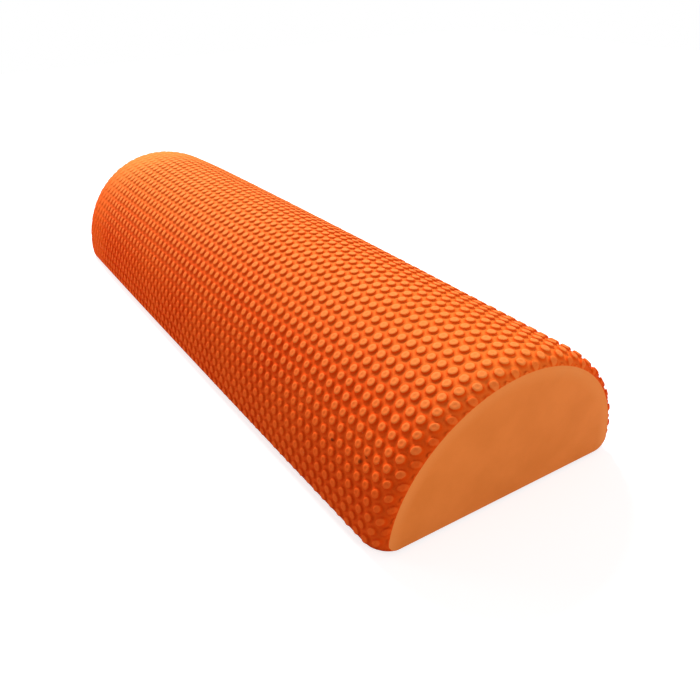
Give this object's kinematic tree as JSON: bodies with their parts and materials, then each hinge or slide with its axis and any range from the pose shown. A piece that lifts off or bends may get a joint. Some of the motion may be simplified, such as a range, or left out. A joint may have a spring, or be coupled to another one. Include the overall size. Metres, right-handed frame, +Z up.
{
  "type": "half round foam roller",
  "caption": "Half round foam roller: flat underside, round top covered in small raised nubs, flat smooth ends; for balance, stretching and therapy exercise.",
  "frame": {"origin": "middle of the flat underside", "axes": "+X along the roller's length, +Z up from the flat underside to the crown of the round side, +Y across"},
  "size_m": [0.45, 0.15, 0.075],
  "materials": {
    "foam_core": "smooth cut closed-cell foam, matt",
    "textured_cover": "moulded closed-cell foam skin with raised round nubs, satin",
    "base_sheet": "moulded closed-cell foam skin, smooth, satin"
  },
  "bodies": {
    "root": {"foam_core": "foam_core", "textured_cover": "textured_cover", "base_sheet": "base_sheet"}
  },
  "joints": []
}
